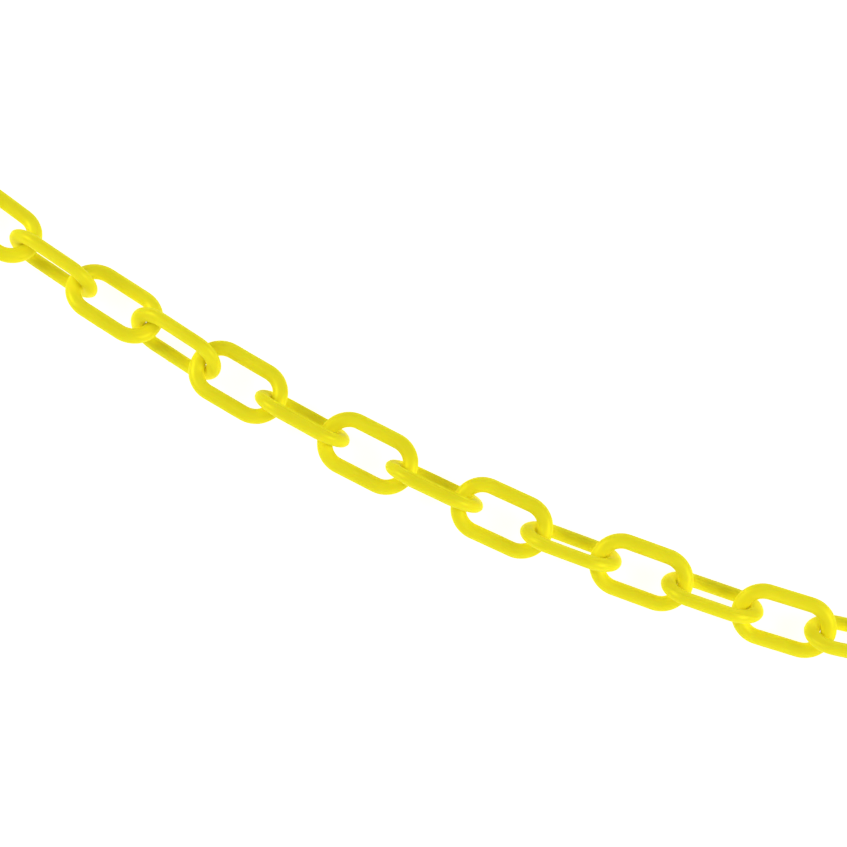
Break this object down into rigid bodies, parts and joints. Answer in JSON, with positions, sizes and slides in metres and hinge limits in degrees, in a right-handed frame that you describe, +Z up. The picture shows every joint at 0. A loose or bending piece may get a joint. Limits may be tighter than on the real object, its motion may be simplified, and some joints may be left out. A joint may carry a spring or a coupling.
{
  "type": "plastic barrier chain",
  "caption": "Moulded plastic barrier chain of closed oval links, each swinging on the next, with open eyes at both ends for hooks or posts.",
  "frame": {"origin": "middle of the chain's outline, on the floor that it lies on", "axes": "+X along the chain from link_01 to link_21, +Z up from the floor, +Y across the chain on the hollow side of its curve"},
  "size_m": [0.7506, 0.0798, 0.0308],
  "materials": {
    "yellow_plastic": "satin moulded polyethylene"
  },
  "bodies": {
    "link_01": {"link_01": "yellow_plastic"},
    "link_02": {"link_02": "yellow_plastic"},
    "link_03": {"link_03": "yellow_plastic"},
    "link_04": {"link_04": "yellow_plastic"},
    "link_05": {"link_05": "yellow_plastic"},
    "link_06": {"link_06": "yellow_plastic"},
    "link_07": {"link_07": "yellow_plastic"},
    "link_08": {"link_08": "yellow_plastic"},
    "link_09": {"link_09": "yellow_plastic"},
    "link_10": {"link_10": "yellow_plastic"},
    "link_11": {"link_11": "yellow_plastic"},
    "link_12": {"link_12": "yellow_plastic"},
    "link_13": {"link_13": "yellow_plastic"},
    "link_14": {"link_14": "yellow_plastic"},
    "link_15": {"link_15": "yellow_plastic"},
    "link_16": {"link_16": "yellow_plastic"},
    "link_17": {"link_17": "yellow_plastic"},
    "link_18": {"link_18": "yellow_plastic"},
    "link_19": {"link_19": "yellow_plastic"},
    "link_20": {"link_20": "yellow_plastic"},
    "link_21": {"link_21": "yellow_plastic"}
  },
  "joints": [
    {"name": "left_01_swing", "type": "hinge", "parent": "link_11", "child": "link_10", "pos_m": [-0.02108, -0.02409, 0.01497], "axis": [-0.0039, -0.2588, 0.9659], "range_deg": [-90, 90]},
    {"name": "left_02_swing", "type": "hinge", "parent": "link_10", "child": "link_09", "pos_m": [-0.05669, -0.02235, 0.01491], "axis": [0.0453, 0.9952, 0.0872], "range_deg": [-90, 90]},
    {"name": "left_03_swing", "type": "hinge", "parent": "link_09", "child": "link_08", "pos_m": [-0.09223, -0.01956, 0.01491], "axis": [0.0207, 0.2749, -0.9613], "range_deg": [-90, 90]},
    {"name": "left_04_swing", "type": "hinge", "parent": "link_08", "child": "link_07", "pos_m": [-0.12767, -0.01576, 0.01415], "axis": [-0.1047, -0.9914, 0.0784], "range_deg": [-90, 90]},
    {"name": "left_05_swing", "type": "hinge", "parent": "link_07", "child": "link_06", "pos_m": [-0.1629, -0.0103, 0.01422], "axis": [0.0626, 0.418, 0.9063], "range_deg": [-90, 90]},
    {"name": "left_06_swing", "type": "hinge", "parent": "link_06", "child": "link_05", "pos_m": [-0.19819, -0.00534, 0.0152], "axis": [0.1152, 0.8914, -0.4382], "range_deg": [-90, 90]},
    {"name": "left_07_swing", "type": "hinge", "parent": "link_05", "child": "link_04", "pos_m": [-0.23333, 0.00066, 0.0151], "axis": [-0.0358, -0.2135, -0.9763], "range_deg": [-90, 90]},
    {"name": "left_08_swing", "type": "hinge", "parent": "link_04", "child": "link_03", "pos_m": [-0.26818, 0.0082, 0.01536], "axis": [-0.1924, -0.9198, 0.342], "range_deg": [-90, 90]},
    {"name": "left_09_swing", "type": "hinge", "parent": "link_03", "child": "link_02", "pos_m": [-0.30285, 0.01651, 0.01533], "axis": [0.0241, 0.1017, 0.9945], "range_deg": [-90, 90]},
    {"name": "left_10_swing", "type": "hinge", "parent": "link_02", "child": "link_01", "pos_m": [-0.33732, 0.02561, 0.01541], "axis": [0.2501, 0.9582, -0.1392], "range_deg": [-90, 90]},
    {"name": "right_01_swing", "type": "hinge", "parent": "link_11", "child": "link_12", "pos_m": [0.02242, -0.02476, 0.01497], "axis": [-0.0039, -0.2588, 0.9659], "range_deg": [-90, 90]},
    {"name": "right_02_swing", "type": "hinge", "parent": "link_12", "child": "link_13", "pos_m": [0.05806, -0.02475, 0.01414], "axis": [-0.0054, -0.9816, -0.1908], "range_deg": [-90, 90]},
    {"name": "right_03_swing", "type": "hinge", "parent": "link_13", "child": "link_14", "pos_m": [0.09359, -0.02181, 0.01422], "axis": [-0.0314, 0.4214, -0.9063], "range_deg": [-90, 90]},
    {"name": "right_04_swing", "type": "hinge", "parent": "link_14", "child": "link_15", "pos_m": [0.12912, -0.01888, 0.01372], "axis": [-0.074, 0.9534, 0.2923], "range_deg": [-90, 90]},
    {"name": "right_05_swing", "type": "hinge", "parent": "link_15", "child": "link_16", "pos_m": [0.16459, -0.01534, 0.01378], "axis": [0.048, -0.4901, 0.8704], "range_deg": [-90, 90]},
    {"name": "right_06_swing", "type": "hinge", "parent": "link_16", "child": "link_17", "pos_m": [0.1999, -0.01051, 0.01278], "axis": [0.1104, -0.9069, -0.4066], "range_deg": [-90, 90]},
    {"name": "right_07_swing", "type": "hinge", "parent": "link_17", "child": "link_18", "pos_m": [0.2347, -0.00272, 0.01288], "axis": [-0.1262, 0.5884, -0.7986], "range_deg": [-90, 90]},
    {"name": "right_08_swing", "type": "hinge", "parent": "link_18", "child": "link_19", "pos_m": [0.26943, 0.00512, 0.01466], "axis": [-0.2143, 0.8568, 0.469], "range_deg": [-90, 90]},
    {"name": "right_09_swing", "type": "hinge", "parent": "link_19", "child": "link_20", "pos_m": [0.30387, 0.01435, 0.01449], "axis": [0.0955, -0.3622, 0.9272], "range_deg": [-90, 90]},
    {"name": "right_10_swing", "type": "hinge", "parent": "link_20", "child": "link_21", "pos_m": [0.33793, 0.02484, 0.0155], "axis": [0.2892, -0.9344, -0.2078], "range_deg": [-90, 90]}
  ]
}
